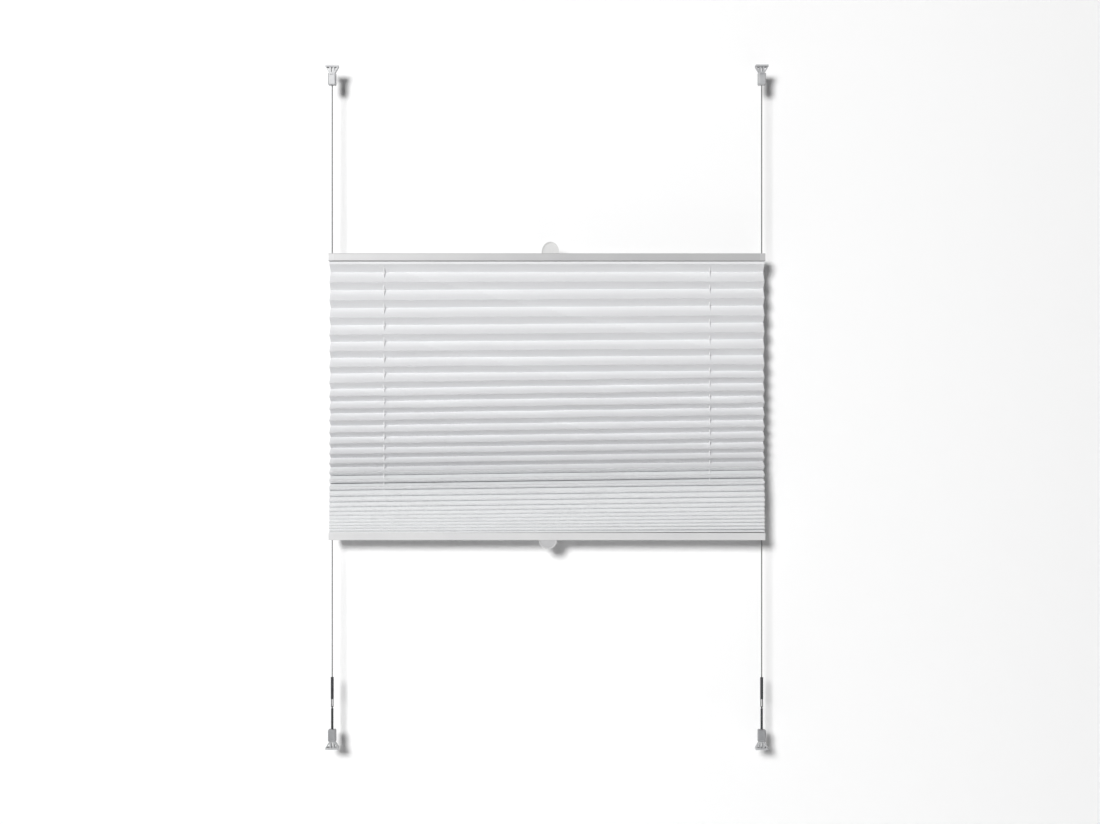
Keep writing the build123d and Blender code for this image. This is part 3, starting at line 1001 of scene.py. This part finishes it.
    # a row right on a fold belongs to the panel below it
    nudged = add(tree, "ShaderNodeMath", {0: s, 1: 0.001}, operation="ADD").outputs[0]
    lower_fold = add(tree, "ShaderNodeMath", {0: nudged}, operation="FLOOR").outputs[0]
    stop = add(
        tree, "ShaderNodeMath", {0: given["Last fold"], 1: 1.0}, operation="SUBTRACT"
    ).outputs[0]
    low_fold = add(
        tree, "ShaderNodeMath", {0: lower_fold, 1: stop}, operation="MINIMUM"
    ).outputs[0]
    high_fold = add(tree, "ShaderNodeMath", {0: low_fold, 1: 1.0}, operation="ADD").outputs[0]
    t = add(tree, "ShaderNodeMath", {0: s, 1: low_fold}, operation="SUBTRACT").outputs[0]
    t_angle = add(tree, "ShaderNodeMath", {0: t, 1: math.pi}, operation="MULTIPLY").outputs[0]
    t_cos = add(tree, "ShaderNodeMath", {0: t_angle}, operation="COSINE").outputs[0]
    eased = add(
        tree, "ShaderNodeMapRange", {"Value": t_cos, 1: 1.0, 2: -1.0, 3: 0.0, 4: 1.0}
    ).outputs[0]
    place = add(tree, "GeometryNodeInputPosition").outputs[0]
    ends = [
        add(
            tree,
            "GeometryNodeSampleIndex",
            {"Geometry": laid, "Value": place, "Index": number},
            data_type="FLOAT_VECTOR",
        ).outputs[0]
        for number in (low_fold, high_fold)
    ]
    # where the stack is tight the front folds round off and close the gaps between them
    from_front = add(
        tree, "ShaderNodeMath", {0: low_fold, 1: 2.0}, operation="FLOORED_MODULO"
    ).outputs[0]
    to_front = add(
        tree, "ShaderNodeMath", {0: 1.0, 1: from_front}, operation="SUBTRACT"
    ).outputs[0]
    signed = add(
        tree, "ShaderNodeMath", {0: eased, 1: to_front}, operation="SUBTRACT"
    ).outputs[0]
    off_nose = add(tree, "ShaderNodeMath", {0: signed}, operation="ABSOLUTE").outputs[0]
    to_back = add(
        tree, "ShaderNodeMath", {0: 1.0, 1: off_nose}, operation="SUBTRACT"
    ).outputs[0]
    y_ends = [add(tree, "ShaderNodeSeparateXYZ", {0: point}).outputs for point in ends]
    rise_here = add(
        tree, "ShaderNodeMath", {0: y_ends[0][2], 1: y_ends[1][2]}, operation="SUBTRACT"
    ).outputs[0]
    bluntness = add(
        tree,
        "ShaderNodeMapRange",
        {
            "Value": rise_here,
            1: given["Closed rise"],
            2: given["Open rise"],
            3: given["Bluntness"],
            4: 1.0,
        },
    ).outputs[0]
    remaining = add(
        tree, "ShaderNodeMath", {0: to_back, 1: bluntness}, operation="POWER"
    ).outputs[0]
    dropped = add(
        tree, "ShaderNodeMath", {0: 1.0, 1: remaining}, operation="SUBTRACT"
    ).outputs[0]
    signed_drop = add(
        tree, "ShaderNodeMath", {0: dropped, 1: to_front}, operation="SUBTRACT"
    ).outputs[0]
    part_down = add(tree, "ShaderNodeMath", {0: signed_drop}, operation="ABSOLUTE").outputs[0]
    # the back folds are soft, so the panels bend gently into them
    fourth = add(tree, "ShaderNodeMath", {0: off_nose, 1: 4.0}, operation="POWER").outputs[0]
    bent = add(
        tree, "ShaderNodeMath", {0: off_nose, 1: fourth}, operation="SUBTRACT"
    ).outputs[0]
    deeper = add(
        tree,
        "ShaderNodeMath",
        {0: bent, 1: given["Back softness"], 2: off_nose},
        operation="MULTIPLY_ADD",
    ).outputs[0]
    signed_depth = add(
        tree, "ShaderNodeMath", {0: deeper, 1: to_front}, operation="SUBTRACT"
    ).outputs[0]
    part_back = add(tree, "ShaderNodeMath", {0: signed_depth}, operation="ABSOLUTE").outputs[0]
    panel_y = add(
        tree,
        "ShaderNodeMix",
        {"Factor": part_back, 2: y_ends[0][1], 3: y_ends[1][1]},
        data_type="FLOAT",
    )
    panel_z = add(
        tree,
        "ShaderNodeMix",
        {"Factor": part_down, 2: y_ends[0][2], 3: y_ends[1][2]},
        data_type="FLOAT",
    )
    on_panel = add(
        tree, "ShaderNodeCombineXYZ", {"Y": panel_y.outputs[0], "Z": panel_z.outputs[0]}
    ).outputs[0]
    x = add(tree, "ShaderNodeSeparateXYZ", {0: place}).outputs[0]
    across = add(tree, "ShaderNodeCombineXYZ", {"X": x}).outputs[0]
    flat_place = add(
        tree, "ShaderNodeVectorMath", {0: on_panel, 1: across}, operation="ADD"
    ).outputs[0]

    # one side hangs higher than the other, and the cloth has small creases of its own
    down = add(tree, "ShaderNodeMath", {0: s, 1: count}, operation="DIVIDE").outputs[0]
    tilt = add(tree, "ShaderNodeFloatCurve", {"Value": down})
    from_pivot = add(
        tree, "ShaderNodeMath", {0: x, 1: given["Slope pivot"]}, operation="SUBTRACT"
    ).outputs[0]
    lean = add(
        tree, "ShaderNodeMath", {0: tilt.outputs[0], 1: given["Slope"]}, operation="MULTIPLY"
    ).outputs[0]
    tilted = add(
        tree, "ShaderNodeMath", {0: lean, 1: from_pivot}, operation="MULTIPLY"
    ).outputs[0]
    free = add(tree, "ShaderNodeFloatCurve", {"Value": down})
    per_metre, per_panel, seed = 9.0, 0.33, 3.7
    x_scaled = add(
        tree, "ShaderNodeMath", {0: x, 1: per_metre}, operation="MULTIPLY"
    ).outputs[0]
    s_scaled = add(
        tree, "ShaderNodeMath", {0: s, 1: per_panel}, operation="MULTIPLY"
    ).outputs[0]
    crease_place = add(
        tree, "ShaderNodeCombineXYZ", {"X": x_scaled, "Y": s_scaled, "Z": seed}
    ).outputs[0]
    crease = add(
        tree,
        "ShaderNodeTexNoise",
        {"Vector": crease_place, "Scale": 1.0, "Detail": 3.0, "Roughness": 0.55},
    ).outputs["Color"]
    centred = add(
        tree, "ShaderNodeVectorMath", {0: crease, 1: (0.5, 0.5, 0.5)}, operation="SUBTRACT"
    ).outputs[0]
    sized = add(
        tree, "ShaderNodeVectorMath", {0: centred, "Scale": given["Wrinkle"]}, operation="SCALE"
    ).outputs[0]
    eased_in = add(
        tree, "ShaderNodeVectorMath", {0: sized, "Scale": free.outputs[0]}, operation="SCALE"
    ).outputs[0]
    crease_by_axis = (0.0, 0.7, 1.0)
    only_yz = add(
        tree, "ShaderNodeVectorMath", {0: eased_in, 1: crease_by_axis}, operation="MULTIPLY"
    ).outputs[0]
    up = add(tree, "ShaderNodeCombineXYZ", {"Z": tilted}).outputs[0]
    moved = add(tree, "ShaderNodeVectorMath", {0: only_yz, 1: up}, operation="ADD").outputs[0]
    final = add(
        tree, "ShaderNodeVectorMath", {0: flat_place, 1: moved}, operation="ADD"
    ).outputs[0]

    # the UV map is the cloth laid flat, in metres
    length = add(
        tree, "ShaderNodeMath", {0: s, 1: given["Panel"]}, operation="MULTIPLY"
    ).outputs[0]
    uv = add(tree, "ShaderNodeCombineXYZ", {"X": x, "Y": length}).outputs[0]
    mapped = add(
        tree,
        "GeometryNodeStoreNamedAttribute",
        {"Geometry": sheet.outputs[0], "Name": "UVMap", "Value": uv},
        data_type="FLOAT2",
        domain="CORNER",
    ).outputs[0]
    folded = add(
        tree, "GeometryNodeSetPosition", {"Geometry": mapped, "Position": final}
    ).outputs[0]
    close_tree(tree, folded, given["Material"])

    # how much of each effect there is, from the top of the cloth at 0 to its foot at 1
    for node, points in (
        (
            sag,
            [(0.0, 1.0), (0.25, 1.0), (0.285, 0.72), (0.32, 0.3), (0.36, 0.0), (1.0, 0.0)],
        ),
        (
            tilt,
            [
                (0.0, 0.0),
                (0.04, 0.05),
                (0.1, 0.42),
                (0.23, 0.46),
                (0.27, 0.96),
                (0.5, 0.94),
                (0.75, 0.8),
                (0.88, 0.55),
                (1.0, 0.0),
            ],
        ),
        (
            free,
            [
                (0.0, 0.0),
                (0.05, 0.6),
                (0.3, 1.0),
                (0.5, 0.45),
                (0.65, 0.14),
                (0.85, 0.05),
                (1.0, 0.0),
            ],
        ),
    ):
        curve = node.mapping.curves[0]
        while len(curve.points) > 2:
            curve.points.remove(curve.points[1])
        curve.points[0].location = points[0]
        curve.points[1].location = points[-1]
        for point in points[1:-1]:
            curve.points.new(*point)
        for point in curve.points:
            point.handle_type = "AUTO_CLAMPED"
        node.mapping.update()
    return tree


cloth_rule = cloth_tree()
ALL_FOLDS = 2 * PLEATS + 2
SPLIT_FOLD = 2 * FREE_SPLIT + 1
UPPER_TAB = -4.5 * MM  # the cloth leaves the upper rail near its front lip
CLOTH_WIDTH = cloth_high[0] - cloth_low[0]
ROWS_PER_PANEL, COLUMNS = 7, 89
SLOPE, LEVEL_AT = 5.0 / 350, -0.147  # the folds stay level at this x and rise to its right
SAG = 4.8 * MM
WRINKLE = 2.2 * MM
BACK_PULL, BACK_SOFTNESS = 0.26, 0.08
# A panel with no more than the closed rise has the bluntest nose, and one with the open
# rise or more has a plain one
CLOSED_RISE, OPEN_RISE, BLUNTNESS = 2.4 * MM, 6.2 * MM, 16.0
CREASE_ANGLE = math.radians(35)
PUNCH_SEGMENTS = 20
PUNCH_PAST_ENDS = 2 * MM


def apply_modifier(piece, kind, **settings):
    """Add one modifier and keep its result as the piece's plain mesh."""
    modifier = piece.modifiers.new(kind.lower(), kind)
    for key, value in settings.items():
        setattr(modifier, key, value)
    bpy.context.view_layer.update()
    evaluated = piece.evaluated_get(bpy.context.evaluated_depsgraph_get())
    mesh = bpy.data.meshes.new_from_object(evaluated)
    piece.modifiers.clear()
    piece.data = mesh


def punches():
    """Round punches through the whole stack, at the two rows of holes."""
    shape = bmesh.new()
    for side in LEFT_AND_RIGHT.values():
        middle = Matrix.Translation((side * HOLE_X, 0, (TOP_RAIL_Z + BOTTOM_RAIL_Z) / 2))
        bmesh.ops.create_cone(
            shape,
            cap_ends=True,
            segments=PUNCH_SEGMENTS,
            radius1=PUNCHED_HOLE / 2,
            radius2=PUNCHED_HOLE / 2,
            depth=TOP_RAIL_Z - BOTTOM_RAIL_Z + 2 * PUNCH_PAST_ENDS,
            matrix=middle,
        )
    mesh = bpy.data.meshes.new("punches")
    shape.to_mesh(mesh)
    shape.free()
    return mesh_object("punches", mesh)


def cloth_piece(name, first, last, tab_reach):
    """The cloth between two folds, with its thickness and its punched holes."""
    piece = grown(
        cloth_rule,
        name,
        Width=CLOTH_WIDTH,
        Top=cloth_high[2] - CLOTH / 2,
        Height=cloth_high[2] - cloth_low[2] - CLOTH,
        Panel=PANEL,
        Pleats=PLEATS,
        Tightest_share=TIGHTEST_SHARE,
        Crowding=CROWDING,
        Tab_reach=tab_reach,
        First_fold=first,
        Last_fold=last,
        Rows_per_panel=ROWS_PER_PANEL,
        Columns=COLUMNS,
        Slope=SLOPE,
        Slope_pivot=LEVEL_AT,
        Sag=SAG,
        Wrinkle=WRINKLE,
        Bluntness=BLUNTNESS,
        Back_pull=BACK_PULL,
        Back_softness=BACK_SOFTNESS,
        Open_rise=OPEN_RISE,
        Closed_rise=CLOSED_RISE,
        Material=cloth,
    )
    apply_modifier(piece, "SOLIDIFY", thickness=CLOTH, offset=0.0)
    cutter = punches()
    apply_modifier(piece, "BOOLEAN", object=cutter, operation="DIFFERENCE", solver="MANIFOLD")
    bpy.data.objects.remove(cutter)
    face_outwards(piece.data)
    for face in piece.data.polygons:
        face.use_smooth = True
    piece.data.set_sharp_from_angle(angle=CREASE_ANGLE)
    return piece


upper = cloth_piece("pleated_cloth_upper", 0, SPLIT_FOLD, UPPER_TAB)
lower = cloth_piece("pleated_cloth_lower", SPLIT_FOLD, ALL_FOLDS, TAB_REACH)
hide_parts("pleated_fabric")
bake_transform(upper)
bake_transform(lower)

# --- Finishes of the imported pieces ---


def finish_node(name, material):
    """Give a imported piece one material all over."""
    piece = bpy.data.objects[name]
    if not piece.material_slots:
        piece.data.materials.append(material)
    for slot in piece.material_slots:
        slot.material = material


for end, coat, cap, handle, barrel in (
    ("top", shaded_upper_coat, shaded_upper_cap_abs, abs_white, nylon),
    ("bottom", lit_lower_coat, lit_lower_cap_abs, recess_shaded_abs, nylon_painted_shade),
):
    finish_node(f"{end}_rail", coat)
    finish_node(f"{end}_rail_fabric_strip", acetal)
    finish_node(f"{end}_rail_handle", handle)
    for name in LEFT_AND_RIGHT:
        finish_node(f"{end}_rail_{name}_cap", cap)
        finish_node(f"{end}_rail_{name}_guide", acetal)
        finish_node(f"{end}_{name}_shoe_foot", nylon)
        finish_node(f"{end}_{name}_shoe_barrel", barrel)
for name in LEFT_AND_RIGHT:
    finish_node(f"{name}_cord_sleeve", sleeve_vinyl)
    finish_node(f"{name}_cord_knot", polyester_braid)
    finish_node(f"{name}_spring_anchor", acetal)
